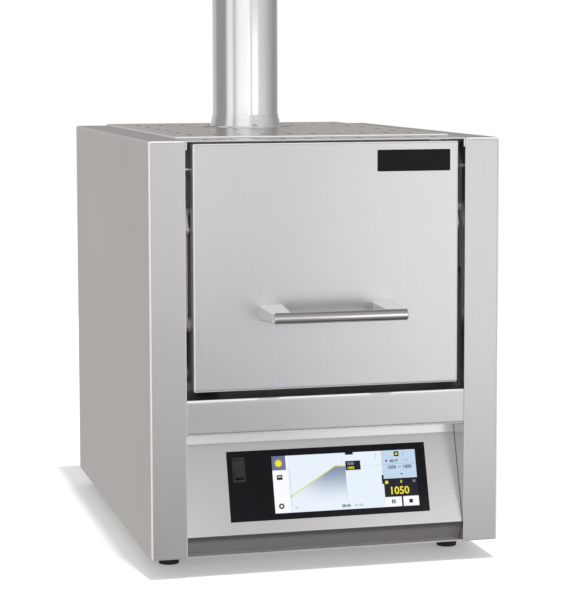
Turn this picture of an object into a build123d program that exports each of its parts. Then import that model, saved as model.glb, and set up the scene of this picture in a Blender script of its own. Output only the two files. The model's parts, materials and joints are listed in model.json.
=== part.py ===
from build123d import *
import os
from math import atan2, cos, degrees, radians, sin

# Bench ashing furnace with a parallel-guided lift door.
# Millimetres, +Z up, -Y is the front. The origin is on the bench, under the middle of the
# whole furnace, handle included.

# Outer size of the housing, without feet, handle and exhaust pipe
body_width = 385.0
body_depth = 510.0
body_height = 441.0
foot_height = 22.0
overall_height = 790.0

# Sheet metal
sheet = 1.5
casing_sheet = 1.0
bend = 3.0
small_bend = 2.0
seam = 0.4

# Front, from the lower edge of the housing upwards
post_width = 39.0
post_lip = 12.0
panel_foot_height = 21.2
panel_rise = 94.1
panel_lean = 30.2
panel_setback = 3.2
panel_return = 11.0
panel_neck = 14.6
panel_neck_lean = 2.0
member_height = 38.2
door_gap_below = 8.3
door_gap_side = 8.0
door_gap_top = 1.8

# Top
strip_depth = 56.0
skirt = 10.0
cover_raise = 2.0
slot_length = 22.0
slot_width = 3.0
slot_pitch = 28.0
slots_across = 10
slots_along = 4
slot_front_margin = 55.0
slot_rear_margin = 82.5
rear_flange = 20.0

# Door
door_skin_depth = 16.0
door_cavity = 20.0
door_casing_overlap = 18.0
door_casing_head = 34.0
door_casing_foot = 6.5
door_casing_side = 28.0
door_insulation_proud = 2.0
door_clearance = 2.0
plug_length = 15.0
plug_clearance = 2.0
standoff_radius = 6.0
standoff_spacing_x = 180.0
standoff_spacing_z = 105.0

# Handle
bar_radius = 6.0
bar_length = 143.4
bar_reach = 52.0
bar_height_on_door = 82.4
bracket_front_width = 18.8
bracket_front_height = 11.0
bracket_root_width = 26.0
bracket_root_height = 17.0
bracket_hole_depth = 20.0
bar_edge = 0.8
plate_width = 81.0
plate_height = 23.0
plate_thickness = 1.0
plate_inset_side = 9.6
plate_inset_top = 8.8

# Door guide: two pairs of equal arms, one pair above and behind the other
arm_length = 120.0
arm_width = 14.0
arm_thickness = 4.0
arm_inset = 2.0
upper_tip_setback = 28.0
upper_tip_rise = 68.6
lower_pivot_setback = 22.0
lower_pivot_drop = 54.0
running_clearance = 0.06
side_clearance = 0.3
open_pivot_clearance = 0.6
pivot_radius = 4.0
pivot_shoulder_radius = 6.0
pivot_head_radius = 6.5
pivot_head_thickness = 2.4
pivot_plate_thickness = 3.0
nut_across_flats = 13.0
nut_height = 4.0
upper_shaft_radius = 5.0
lower_shaft_radius = 4.0
shaft_end_radius = 3.0
rivet_radius = 5.5
rivet_height = 1.2
ear_thickness = 3.0
ear_boss_radius = 8.0
ear_radius = 9.0
ear_flange = 16.0
crank_radius = 20.0
crank_lead = 22.5
crank_lobe_radius = 6.0
crank_pin_radius = 2.5
spring_radius = 3.5
spring_wire = 0.6
spring_eye_clearance = 0.3
spring_rise = 63.5
spring_coils = 8
spring_wire_sides = 4
spring_wire_turn = 45.0
spring_inset = 15.0

# Chamber and insulation
casing_gap = 2.0
wall_side = 38.5
wall_top = 58.6
wall_bottom = 51.0
wall_front = 17.0
wall_rear = 124.0
rear_space = 54.5
heater_thickness = 12.0
hearth_thickness = 8.0
hearth_side_gap = 5.0
hearth_end_gap = 5.0
groove_count = 7
groove_width = 4.0
groove_depth = 3.0
groove_end_margin = 12.0
collar_margin = 24.0
frame_window_clearance = 1.0
rail_height = 12.9
rail_width = 30.0
rail_inset = 22.0

# Exhaust
pipe_radius = 40.0
pipe_wall = 1.0
pipe_clearance = 0.1
duct_radius = 27.0
duct_wall = 5.0
duct_clearance = 0.2
duct_setback = 53.0
duct_below_cover = 3.0
duct_below_inlet = 22.0
inlet_radius = 17.0
inlet_below_roof = 19.0
collar_height = 14.3
collar_seam_height = 9.6
collar_root_margin = 3.2
collar_seam_margin = 1.6
collar_groove = 0.5
collar_flange_width = 18.0
collar_flange_thickness = 1.2
collar_screw_margin = 8.5
collar_screws_around = 4
dome_radius = 4.0
dome_angle = 20.0
screw_shank_radius = 2.0
screw_head_radius = 3.5
screw_head_height = 2.0
collar_screw_length = 6.0
panel_screw_length = 6.0
handle_screw_length = 16.0

# Thermocouple
probe_radius = 3.0
probe_reach = 30.0
probe_x = 40.0
probe_below_roof = 54.0
probe_head_radius = 11.0
probe_head_length = 16.0

# Controller in the sloped panel, measured along the slope from the panel's lower edge
fascia_width = 221.6
fascia_height = 74.5
fascia_x = 6.2
fascia_up = 51.2
fascia_thickness = 3.0
fascia_proud = 0.6
fascia_clearance = 0.5
screen_width = 161.5
screen_height = 61.0
screen_x = 25.2
screen_up = 51.0
screen_thickness = 2.4
screen_recess = 0.3
rocker_x = -92.9
rocker_up = 69.0
bezel_width = 13.8
bezel_length = 26.4
bezel_proud = 1.2
bezel_wall = 1.0
bezel_end_wall = 2.4
bezel_depth = 12.0
rocker_length = 19.0
rocker_pivot_depth = 3.2
rocker_swing = 14.0
rocker_dish = 0.3
rocker_rise = 1.6
trunnion_radius = 1.0
controller_depth = 34.0
controller_margin = 5.0
controller_wall = 2.0

# Feet
foot_inset_side = 33.0
foot_inset_front = 75.0
foot_inset_rear = 60.0
foot_top_radius = 13.0
foot_bottom_radius = 11.0

# Rear
vent_length = 60.0
vent_width = 3.5
vent_pitch = 11.0
vent_rows = 6
vent_spread = 90.0
vent_up = 105.0
mains_width = 48.0
mains_height = 27.0
mains_depth = 20.0
mains_wall = 2.0
mains_x = -120.0
mains_up = 60.0
mains_pin_width = 4.0
mains_pin_height = 2.0
mains_pin_length = 12.0
mains_pin_pitch = 14.0
rear_screw_pitch = 150.0
rear_screw_rows = 3

# Electronics on the bottom tray
tray_rim = 12.0
sink_x = 90.0
sink_width = 90.0
sink_depth = 80.0
sink_base = 8.0
sink_fin = 32.0
sink_fin_thickness = 2.0
sink_fins = 10
relay_width = 45.0
relay_depth = 58.0
relay_height = 24.0
terminal_x = -90.0
terminal_count = 6
terminal_pitch = 10.0
terminal_depth = 20.0
terminal_height = 18.0
terminal_pocket = 6.0
terminal_pocket_depth = 5.0

# Door contact switch
switch_width = 16.0
switch_depth = 16.0
switch_height = 10.0
switch_gap = 0.6
plunger_radius = 2.5
plunger_height = 2.5

# Places worked out from the values above
handle_reach = bar_reach + bar_radius
front_y = (handle_reach - body_depth - screw_head_height) / 2
rear_y = front_y + body_depth
middle_y = (front_y + rear_y) / 2
base_z = foot_height
top_z = base_z + body_height
side_x = body_width / 2
mouth_x = side_x - post_width
inner_side_x = side_x - sheet
fill_x = mouth_x - seam
flange_x = side_x - rear_flange / 2
rear_middle_z = base_z + body_height / 2

panel_foot_z = base_z + panel_foot_height
panel_head_z = panel_foot_z + panel_rise
member_bottom_z = panel_head_z + panel_neck
member_top_z = member_bottom_z + member_height
door_bottom_z = member_top_z + door_gap_below
door_top_z = top_z - sheet - door_gap_top
door_x = mouth_x - door_gap_side
door_middle_z = (door_bottom_z + door_top_z) / 2
door_height = door_top_z - door_bottom_z
skin_back_y = front_y + door_skin_depth
casing_front_y = skin_back_y + door_cavity
door_back_y = casing_front_y + door_casing_side + door_insulation_proud
frame_y = door_back_y + door_clearance
casing_start_y = frame_y + sheet
mouth_back_y = frame_y + wall_front
chamber_back_y = rear_y - rear_space - casing_sheet - wall_rear
block_back_y = chamber_back_y + wall_rear
casing_back_y = block_back_y + casing_sheet

casing_x = mouth_x - casing_gap
block_x = casing_x - casing_sheet
block_inner_x = block_x - wall_side
chamber_x = block_inner_x - heater_thickness
casing_bottom_z = member_top_z + rail_height
block_bottom_z = casing_bottom_z + casing_sheet
floor_z = block_bottom_z + wall_bottom
hearth_z = floor_z + hearth_thickness
casing_top_z = top_z - skirt - seam
block_top_z = casing_top_z - casing_sheet
roof_z = block_top_z - wall_top

upper_tip_y = front_y + upper_tip_setback
upper_tip_z = door_bottom_z + upper_tip_rise
upper_pivot_y = upper_tip_y
upper_pivot_z = upper_tip_z + arm_length
lower_pivot_y = upper_pivot_y + lower_pivot_setback
lower_pivot_z = upper_pivot_z - lower_pivot_drop
lower_tip_y = lower_pivot_y
lower_tip_z = lower_pivot_z - arm_length
arm_outer_x = mouth_x - arm_inset
arm_inner_x = arm_outer_x - arm_thickness
ear_boss_x = arm_inner_x - side_clearance
ear_outer_x = door_x - sheet
ear_inner_x = ear_outer_x - ear_thickness
plate_inner_x = mouth_x + sheet
plate_outer_x = plate_inner_x + pivot_plate_thickness
casing_foot_z = lower_tip_z + lower_shaft_radius + door_casing_foot
casing_head_z = roof_z + door_casing_head
crank_y = upper_pivot_y - crank_radius * sin(radians(crank_lead))
crank_z = upper_pivot_z - crank_radius * cos(radians(crank_lead))
anchor_z = crank_z + spring_rise
spring_x = mouth_x - spring_inset

exhaust_y = chamber_back_y + duct_setback
inlet_z = roof_z - inlet_below_roof
duct_bottom_z = inlet_z - duct_below_inlet
cover_top_z = top_z + cover_raise
collar_screw_radius = pipe_radius + collar_screw_margin
collar_flange_radius = pipe_radius + collar_flange_width
duct_top_z = cover_top_z - duct_below_cover
probe_z = roof_z - probe_below_roof

lean = atan2(panel_lean, panel_rise)
panel_plane = Plane(
    origin=(0, front_y + panel_setback, panel_foot_z),
    x_dir=(1, 0, 0),
    z_dir=(0, -cos(lean), sin(lean)),
)

os.makedirs("parts", exist_ok=True)


def save(piece, label):
    """Names a finished piece and writes it to its own file."""
    piece.part.label = label
    export_step(piece.part, f"parts/{label}.step")


def mirrored(piece, label):
    """The same piece for the other side of the furnace."""
    with BuildPart() as other:
        mirror(piece.part, about=Plane.YZ)
    save(other, label)


def block(x_low, x_high, y_low, y_high, z_low, z_high):
    """A straight block between six planes, for the part that is being built."""
    with BuildSketch(Plane.XY.offset(z_low)) as outline:
        with Locations(((x_low + x_high) / 2, (y_low + y_high) / 2)):
            Rectangle(x_high - x_low, y_high - y_low)
    extrude(outline.sketch, amount=z_high - z_low)


def folded_strip(points, radius, side, half_width):
    """A sheet folded along points in the YZ plane, as wide as twice half_width."""
    with BuildSketch(Plane.YZ) as profile:
        with BuildLine():
            FilletPolyline(*points, radius=radius)
            offset(amount=sheet, side=side)
        make_face()
    extrude(profile.sketch, amount=half_width, both=True)


def neck_y(extra=0):
    """How far back the control panel's neck lies at its upper edge."""
    return front_y + panel_setback + panel_lean + panel_neck_lean + extra


# Side shells: side wall, front post, rear flange and top flange folded from one sheet
with BuildPart() as left_side_shell:
    block(-side_x, -mouth_x, front_y, rear_y, base_z, top_z)
    upright = left_side_shell.edges().filter_by(Axis.Z).group_by(Axis.X)[0]
    along = left_side_shell.edges().filter_by(Axis.Y).group_by(Axis.Z)[-1].sort_by(Axis.X)[0]
    across = left_side_shell.edges().filter_by(Axis.X).group_by(Axis.Z)[-1].sort_by(Axis.Y)[0]
    fillet(upright + [along, across], radius=bend)
    inner_face = left_side_shell.faces().sort_by(Axis.X)[-1]
    lower_face = left_side_shell.faces().sort_by(Axis.Z)[0]
    offset(amount=-sheet, openings=[inner_face, lower_face])
    # The rear flange is narrow below the top cover's skirt.
    with BuildSketch(Plane.XY.offset(base_z)):
        with Locations((-mouth_x - (post_width - rear_flange) / 2, rear_y - sheet / 2)):
            Rectangle(post_width - rear_flange, sheet + seam)
    extrude(amount=body_height - sheet - skirt, mode=Mode.SUBTRACT)
    # Lips turned back along the post and down along the top flange
    block(-mouth_x - sheet, -mouth_x, front_y, front_y + post_lip, base_z + sheet, top_z)
    block(
        -mouth_x - sheet,
        -mouth_x,
        front_y,
        neck_y(sheet),
        base_z + sheet,
        member_bottom_z,
    )
    block(-mouth_x - sheet, -mouth_x, front_y, rear_y, top_z - skirt, top_z)
    with BuildSketch(Plane.XZ.offset(-rear_y)):
        with Locations((-flange_x, rear_middle_z)):
            with GridLocations(0, rear_screw_pitch, 1, rear_screw_rows):
                Circle(screw_shank_radius + running_clearance)
    extrude(amount=2 * sheet, both=True, mode=Mode.SUBTRACT)
save(left_side_shell, "left_side_shell")
mirrored(left_side_shell, "right_side_shell")


def slot_row(y, count, top):
    """One row of slots across the furnace, cut through the top sheet."""
    with BuildSketch(Plane.XY.offset(top)) as slots:
        with Locations((0, y)):
            with GridLocations(slot_pitch, 0, count, 1):
                Rectangle(slot_width, slot_length)
    extrude(slots.sketch, amount=-2 * sheet, mode=Mode.SUBTRACT)


# Slotted strip over the door, flush with the side shells
strip_back_y = front_y + strip_depth - seam
with BuildPart() as front_top_strip:
    block(-fill_x, fill_x, front_y, strip_back_y, top_z - skirt, top_z)
    strip_faces = front_top_strip.faces()
    offset(
        amount=-sheet,
        openings=[strip_faces.sort_by(Axis.Z)[0], strip_faces.sort_by(Axis.Y)[0]],
    )
    slot_row(front_y + strip_depth / 2, slots_across, top_z)
save(front_top_strip, "front_top_strip")

# Top cover, raised a little above the side shells, with a ring of slots
cover_front_y = front_y + strip_depth
slot_front_y = cover_front_y + slot_front_margin
slot_back_y = rear_y - slot_rear_margin
slot_column_pitch = (slots_across - 1) * slot_pitch
slot_along_pitch = (slot_back_y - slot_front_y) / (slots_along + 1)
with BuildPart() as top_cover:
    block(-fill_x, fill_x, cover_front_y, rear_y, top_z - skirt, cover_top_z)
    fillet(top_cover.edges().group_by(Axis.Z)[-1], radius=small_bend)
    offset(amount=-sheet, openings=[top_cover.faces().sort_by(Axis.Z)[0]])
    slot_row(slot_front_y, slots_across, cover_top_z)
    slot_row(slot_back_y, slots_across, cover_top_z)
    with BuildSketch(Plane.XY.offset(cover_top_z)):
        with Locations((0, (slot_front_y + slot_back_y) / 2)):
            with GridLocations(slot_column_pitch, slot_along_pitch, 2, slots_along):
                Rectangle(slot_width, slot_length)
        with Locations((0, exhaust_y)):
            Circle(pipe_radius - pipe_wall)
            with PolarLocations(collar_screw_radius, collar_screws_around):
                Circle(screw_shank_radius + running_clearance)
    extrude(amount=-2 * sheet, mode=Mode.SUBTRACT)
save(top_cover, "top_cover")

# Exhaust pipe with its flared collar
with BuildPart() as exhaust_pipe:
    with BuildSketch(Plane.XY.offset(cover_top_z)):
        with Locations((0, exhaust_y)):
            Circle(pipe_radius)
            Circle(pipe_radius - pipe_wall, mode=Mode.SUBTRACT)
    extrude(amount=overall_height - cover_top_z)
save(exhaust_pipe, "exhaust_pipe")

# The collar's foot widens below a fine groove.
collar_bore = pipe_radius + pipe_clearance
collar_root_radius = pipe_radius + collar_root_margin
collar_seam_radius = pipe_radius + collar_seam_margin
flange_z = cover_top_z + collar_flange_thickness
seam_z = cover_top_z + collar_seam_height
with BuildPart() as exhaust_collar:
    with BuildSketch(Plane.XZ.offset(-exhaust_y)):
        with BuildLine():
            Polyline(
                (collar_root_radius, flange_z),
                (collar_flange_radius, flange_z),
                (collar_flange_radius, cover_top_z),
                (collar_bore, cover_top_z),
                (collar_bore, cover_top_z + collar_height),
                (collar_bore + collar_groove, cover_top_z + collar_height),
                (collar_seam_radius - collar_groove, seam_z + collar_groove),
                (collar_seam_radius - collar_groove, seam_z),
                (collar_seam_radius, seam_z),
                close=True,
            )
        make_face()
    revolve(axis=Axis((0, exhaust_y, 0), (0, 0, 1)))
    with BuildSketch(Plane.XY.offset(flange_z)):
        with Locations((0, exhaust_y)):
            with PolarLocations(collar_screw_radius, collar_screws_around):
                Circle(screw_shank_radius + running_clearance)
    extrude(amount=-collar_flange_thickness, mode=Mode.SUBTRACT)
save(exhaust_collar, "exhaust_collar")

# Cross-member under the door, a channel that is open towards the inside
with BuildPart() as cross_member:
    folded_strip(
        [
            (neck_y(2 * sheet), member_bottom_z),
            (front_y, member_bottom_z),
            (front_y, member_top_z),
            (frame_y, member_top_z),
        ],
        bend,
        Side.RIGHT,
        fill_x,
    )
save(cross_member, "cross_member")

# Sloped control panel with its neck above and its return below
with BuildPart() as control_panel:
    folded_strip(
        [
            (front_y + panel_setback + panel_return, base_z + sheet),
            (front_y + panel_setback, panel_foot_z),
            (front_y + panel_setback + panel_lean, panel_head_z),
            (neck_y(), member_bottom_z),
        ],
        small_bend,
        Side.RIGHT,
        fill_x,
    )
    with BuildSketch(panel_plane):
        with Locations((fascia_x, fascia_up)):
            Rectangle(fascia_width + 2 * fascia_clearance, fascia_height + 2 * fascia_clearance)
    extrude(amount=2 * sheet, both=True, mode=Mode.SUBTRACT)
save(control_panel, "control_panel")

# Controller fascia: black glass with a window for the display and one for the rocker switch
fascia_back = panel_plane.offset(fascia_proud - fascia_thickness)
with BuildPart() as controller_glass:
    with BuildSketch(fascia_back):
        with Locations((fascia_x, fascia_up)):
            RectangleRounded(fascia_width, fascia_height, small_bend)
        with Locations((screen_x, screen_up)):
            Rectangle(screen_width + seam, screen_height + seam, mode=Mode.SUBTRACT)
        with Locations((rocker_x, rocker_up)):
            Rectangle(bezel_width - 2 * bezel_wall + seam, bezel_length - seam, mode=Mode.SUBTRACT)
    extrude(amount=fascia_thickness)
save(controller_glass, "controller_glass")

with BuildPart() as display_screen:
    with BuildSketch(panel_plane.offset(fascia_proud - screen_recess - screen_thickness)):
        with Locations((screen_x, screen_up)):
            Rectangle(screen_width, screen_height)
    extrude(amount=screen_thickness)
save(display_screen, "display_screen")

# Controller housing, a tray that is closed at the back and carries the fascia on its rim
housing_back = fascia_back.offset(-controller_depth)
with BuildPart() as controller_housing:
    with BuildSketch(housing_back):
        with Locations((fascia_x, fascia_up)):
            RectangleRounded(
                fascia_width + 2 * controller_margin, fascia_height + controller_margin, bend
            )
    extrude(amount=controller_depth)
    # The rim round the fascia meets the inner face of the sloped sheet.
    with BuildSketch(fascia_back):
        with Locations((fascia_x, fascia_up)):
            RectangleRounded(
                fascia_width + 2 * controller_margin, fascia_height + controller_margin, bend
            )
            Rectangle(
                fascia_width + 2 * fascia_clearance,
                fascia_height + 2 * fascia_clearance,
                mode=Mode.SUBTRACT,
            )
    extrude(amount=fascia_thickness - fascia_proud - sheet)
    with BuildSketch(housing_back.offset(controller_wall)):
        with Locations((fascia_x, fascia_up)):
            RectangleRounded(
                fascia_width - 2 * controller_wall, fascia_height - 2 * controller_wall, bend
            )
    extrude(amount=controller_depth, mode=Mode.SUBTRACT)
save(controller_housing, "controller_housing")

# Mains rocker switch: a bezel with a closed barrel, and the rocker on two trunnions in it
bezel_face = panel_plane.offset(fascia_proud)
rocker_axis_plane = panel_plane.offset(fascia_proud + bezel_proud - rocker_pivot_depth)
rocker_centre = rocker_axis_plane.from_local_coords((rocker_x, rocker_up, 0))
rocker_width = bezel_width - 4 * bezel_wall
with BuildPart() as rocker_bezel:
    with BuildSketch(bezel_face):
        with Locations((rocker_x, rocker_up)):
            RectangleRounded(bezel_width, bezel_length, bezel_wall)
    extrude(amount=bezel_proud)
    with BuildSketch(bezel_face):
        with Locations((rocker_x, rocker_up)):
            Rectangle(bezel_width - 2 * bezel_wall, bezel_length - 2 * bezel_wall)
    extrude(amount=-bezel_depth)
    with BuildSketch(bezel_face.offset(bezel_proud)):
        with Locations((rocker_x, rocker_up)):
            Rectangle(rocker_width + 2 * side_clearance, bezel_length - 2 * bezel_end_wall)
    extrude(amount=bezel_wall - bezel_depth, mode=Mode.SUBTRACT)
    with BuildSketch(Plane.YZ.offset(rocker_x)):
        with Locations((rocker_centre.Y, rocker_centre.Z)):
            Circle(trunnion_radius + running_clearance)
    extrude(amount=rocker_width / 2 + bezel_wall, both=True, mode=Mode.SUBTRACT)
save(rocker_bezel, "rocker_bezel")

rocker_face = rocker_pivot_depth + rocker_dish
rocker_tip = rocker_pivot_depth + rocker_rise
rocker_tilt = degrees(lean) + rocker_swing / 2
with BuildPart() as power_rocker:
    with BuildSketch(
        Plane(
            origin=(rocker_x, rocker_centre.Y, rocker_centre.Z),
            x_dir=(0, -cos(radians(rocker_tilt)), sin(radians(rocker_tilt))),
            z_dir=(1, 0, 0),
        )
    ):
        with BuildLine():
            half = rocker_length / 2
            back_edge = Line((-rocker_pivot_depth, -half / 2), (-rocker_pivot_depth, half / 2))
            upper_edge = Line(back_edge @ 1, (0, half))
            upper_tip = Line(upper_edge @ 1, (rocker_tip, half))
            dish = ThreePointArc(upper_tip @ 1, (rocker_face, 0), (rocker_tip, -half))
            lower_tip = Line(dish @ 1, (0, -half))
            Line(lower_tip @ 1, back_edge @ 0)
        make_face()
    extrude(amount=rocker_width / 2, both=True)
    with BuildSketch(Plane.YZ.offset(rocker_x)):
        with Locations((rocker_centre.Y, rocker_centre.Z)):
            Circle(trunnion_radius)
    extrude(amount=rocker_width / 2 + bezel_wall / 2, both=True)
save(power_rocker, "power_rocker")

# Bottom tray, inside the side shells, with its rims turned up at the sides and the back
tray_x = side_x - bend - seam
tray_back_y = rear_y - 2 * sheet
with BuildPart() as bottom_tray:
    block(-tray_x, tray_x, front_y + sheet, tray_back_y, base_z, base_z + tray_rim)
    tray_faces = bottom_tray.faces()
    offset(
        amount=-sheet,
        openings=[tray_faces.sort_by(Axis.Z)[-1], tray_faces.sort_by(Axis.Y)[0]],
    )
save(bottom_tray, "bottom_tray")


def foot(label, x, y):
    """A tapered rubber foot under the bottom tray."""
    with BuildPart() as rubber:
        with BuildSketch(Plane.XY):
            with Locations((x, y)):
                Circle(foot_bottom_radius)
        with BuildSketch(Plane.XY.offset(foot_height)):
            with Locations((x, y)):
                Circle(foot_top_radius)
        loft()
    save(rubber, label)


foot_x = side_x - foot_inset_side
foot("foot_front_left", -foot_x, front_y + foot_inset_front)
foot("foot_front_right", foot_x, front_y + foot_inset_front)
foot("foot_rear_left", -foot_x, rear_y - foot_inset_rear)
foot("foot_rear_right", foot_x, rear_y - foot_inset_rear)

# Rear panel inside the rear flanges, with two groups of vents and the opening for the inlet
panel_x = side_x - bend - seam
rear_outer_y = rear_y - sheet
rear_inner_y = rear_y - 2 * sheet
mains_z = base_z + mains_up
socket_width = mains_width - 4 * mains_wall
socket_height = mains_height - 2 * mains_wall
with BuildPart() as rear_panel:
    block(-panel_x, panel_x, rear_inner_y, rear_outer_y, base_z, casing_top_z)
    with BuildSketch(Plane.XZ.offset(-rear_y)):
        with Locations((0, base_z + vent_up)):
            with GridLocations(2 * vent_spread, vent_pitch, 2, vent_rows):
                Rectangle(vent_length, vent_width)
        with Locations((mains_x, mains_z)):
            Rectangle(socket_width + seam, socket_height + seam)
        with Locations((0, rear_middle_z)):
            with GridLocations(2 * flange_x, rear_screw_pitch, 2, rear_screw_rows):
                Circle(screw_shank_radius + running_clearance)
    extrude(amount=3 * sheet, both=True, mode=Mode.SUBTRACT)
save(rear_panel, "rear_panel")


def screw_shapes(plane, places, shank_length):
    """Flat-headed screws whose heads stand on the plane, at places given in it."""
    with BuildSketch(plane) as heads:
        with Locations(*places):
            Circle(screw_head_radius)
    extrude(heads.sketch, amount=-screw_head_height)
    with BuildSketch(plane) as shanks:
        with Locations(*places):
            Circle(screw_shank_radius)
    extrude(shanks.sketch, amount=shank_length)


# Rear panel screws, and the dome screws of the exhaust collar
rear_screw_places = [
    (side * flange_x, rear_middle_z + (row - (rear_screw_rows - 1) / 2) * rear_screw_pitch)
    for side in (-1, 1)
    for row in range(rear_screw_rows)
]
with BuildPart() as housing_screws:
    screw_shapes(Plane.XZ.offset(-rear_y), rear_screw_places, panel_screw_length)
    with Locations((0, exhaust_y, flange_z)):
        with PolarLocations(collar_screw_radius, collar_screws_around):
            Sphere(
                dome_radius,
                arc_size1=dome_angle,
                align=(Align.CENTER, Align.CENTER, Align.MIN),
            )
    with BuildSketch(Plane.XY.offset(flange_z)) as collar_shanks:
        with Locations((0, exhaust_y)):
            with PolarLocations(collar_screw_radius, collar_screws_around):
                Circle(screw_shank_radius)
    extrude(collar_shanks.sketch, amount=-collar_screw_length)
save(housing_screws, "housing_screws")

# Mains inlet: a socket with three flat pins, sunk in the rear panel
with BuildPart() as mains_inlet:
    with BuildSketch(Plane.XZ.offset(-rear_outer_y)):
        with Locations((mains_x, mains_z)):
            RectangleRounded(mains_width, mains_height, bend)
    extrude(amount=-sheet)
    with BuildSketch(Plane.XZ.offset(-rear_outer_y)):
        with Locations((mains_x, mains_z)):
            Rectangle(socket_width, socket_height)
    extrude(amount=mains_depth)
    with BuildSketch(Plane.XZ.offset(-rear_y)):
        with Locations((mains_x, mains_z)):
            RectangleRounded(socket_width - 2 * mains_wall, socket_height - 2 * mains_wall, bend)
    extrude(amount=mains_depth + sheet - mains_wall, mode=Mode.SUBTRACT)
    with BuildSketch(Plane.XZ.offset(mains_depth - mains_wall - rear_outer_y)):
        with Locations((mains_x, mains_z - mains_pin_height)):
            with GridLocations(mains_pin_pitch, 0, 2, 1):
                Rectangle(mains_pin_height, mains_pin_width)
        with Locations((mains_x, mains_z + mains_pin_width)):
            Rectangle(mains_pin_height, mains_pin_width)
    extrude(amount=-mains_pin_length)
save(mains_inlet, "mains_inlet")

# Frame behind the door, with a window for the insulation collar
window_x = chamber_x + collar_margin + frame_window_clearance
window_foot_z = hearth_z - collar_margin - frame_window_clearance
window_head_z = roof_z + collar_margin + frame_window_clearance
frame_x = side_x - sheet - seam
with BuildPart() as front_frame:
    block(-frame_x, frame_x, frame_y, casing_start_y, member_bottom_z, casing_top_z)
    with BuildSketch(Plane.XZ.offset(-frame_y)):
        with Locations((0, (window_foot_z + window_head_z) / 2)):
            Rectangle(2 * window_x, window_head_z - window_foot_z)
    extrude(amount=-2 * sheet, mode=Mode.SUBTRACT)
save(front_frame, "front_frame")

# Channels from side wall to side wall that carry the inner casing
with BuildPart() as carrier_rails:
    for rail_y in (casing_start_y + rail_inset, casing_back_y - rail_inset - rail_width):
        block(
            -inner_side_x, inner_side_x, rail_y, rail_y + rail_width, member_top_z, casing_bottom_z
        )
        with BuildSketch(Plane.XY.offset(member_top_z)):
            with Locations((0, rail_y + rail_width / 2)):
                Rectangle(2 * (inner_side_x - sheet), rail_width - 2 * sheet)
        extrude(amount=rail_height - sheet, mode=Mode.SUBTRACT)
save(carrier_rails, "carrier_rails")

# Inner casing round the insulation, open at the front
with BuildPart() as inner_casing:
    block(-casing_x, casing_x, casing_start_y, casing_back_y, casing_bottom_z, casing_top_z)
    offset(amount=-casing_sheet, openings=[inner_casing.faces().sort_by(Axis.Y)[0]])
    with BuildSketch(Plane.XY.offset(casing_top_z)):
        with Locations((0, exhaust_y)):
            Circle(duct_radius + duct_clearance)
    extrude(amount=-2 * casing_sheet, mode=Mode.SUBTRACT)
    with BuildSketch(Plane.XZ.offset(-casing_back_y)):
        with Locations((probe_x, probe_z)):
            Circle(probe_radius + duct_clearance)
    extrude(amount=2 * casing_sheet, mode=Mode.SUBTRACT)
save(inner_casing, "inner_casing")

# Insulation boards round the chamber, each with its two limits across and upwards
for label, across, upwards in (
    ("insulation_floor", (-block_inner_x, block_inner_x), (block_bottom_z, floor_z)),
    ("insulation_roof", (-block_inner_x, block_inner_x), (roof_z, block_top_z)),
    ("insulation_left", (-block_x, -block_inner_x), (block_bottom_z, block_top_z)),
    ("insulation_right", (block_inner_x, block_x), (block_bottom_z, block_top_z)),
):
    with BuildPart() as board:
        block(*across, mouth_back_y, chamber_back_y, *upwards)
    save(board, label)

# Front collar of the insulation, which stands through the frame's window round the mouth
mouth_middle_z = (hearth_z + roof_z) / 2
mouth_height = roof_z - hearth_z
with BuildPart() as insulation_collar:
    block(-block_x, block_x, casing_start_y, mouth_back_y, block_bottom_z, block_top_z)
    with BuildSketch(Plane.XZ.offset(-frame_y)):
        with Locations((0, mouth_middle_z)):
            Rectangle(2 * (chamber_x + collar_margin), mouth_height + 2 * collar_margin)
    extrude(amount=-sheet)
    with BuildSketch(Plane.XZ.offset(-frame_y)):
        with Locations((0, mouth_middle_z)):
            Rectangle(2 * chamber_x, mouth_height)
    extrude(amount=-wall_front, mode=Mode.SUBTRACT)
save(insulation_collar, "insulation_collar")

# Rear block in two layers: the lower one has the hole for the thermocouple, and the upper
# one the exhaust passage
with BuildPart() as insulation_rear_lower:
    block(-block_x, block_x, chamber_back_y, block_back_y, block_bottom_z, duct_bottom_z)
    with BuildSketch(Plane.XZ.offset(-chamber_back_y)):
        with Locations((probe_x, probe_z)):
            Circle(probe_radius + duct_clearance)
    extrude(amount=-wall_rear, mode=Mode.SUBTRACT)
save(insulation_rear_lower, "insulation_rear_lower")

with BuildPart() as insulation_rear_upper:
    block(-block_x, block_x, chamber_back_y, block_back_y, duct_bottom_z, block_top_z)
    with BuildSketch(Plane.XY.offset(duct_bottom_z)):
        with Locations((0, exhaust_y)):
            Circle(duct_radius + duct_clearance)
    extrude(amount=block_top_z - duct_bottom_z, mode=Mode.SUBTRACT)
    with BuildSketch(Plane.XZ.offset(-chamber_back_y)):
        with Locations((0, inlet_z)):
            Circle(inlet_radius)
    extrude(amount=-duct_setback, mode=Mode.SUBTRACT)
save(insulation_rear_upper, "insulation_rear_upper")

# Exhaust duct, a ceramic tube that stands in the rear block and ends under the pipe
with BuildPart() as exhaust_duct:
    with BuildSketch(Plane.XY.offset(duct_bottom_z)):
        with Locations((0, exhaust_y)):
            Circle(duct_radius)
            Circle(duct_radius - duct_wall, mode=Mode.SUBTRACT)
    extrude(amount=duct_top_z - duct_bottom_z)
    with BuildSketch(Plane.XZ.offset(-exhaust_y)):
        with Locations((0, inlet_z)):
            Circle(inlet_radius)
    extrude(amount=duct_radius, mode=Mode.SUBTRACT)
save(exhaust_duct, "exhaust_duct")

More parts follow.
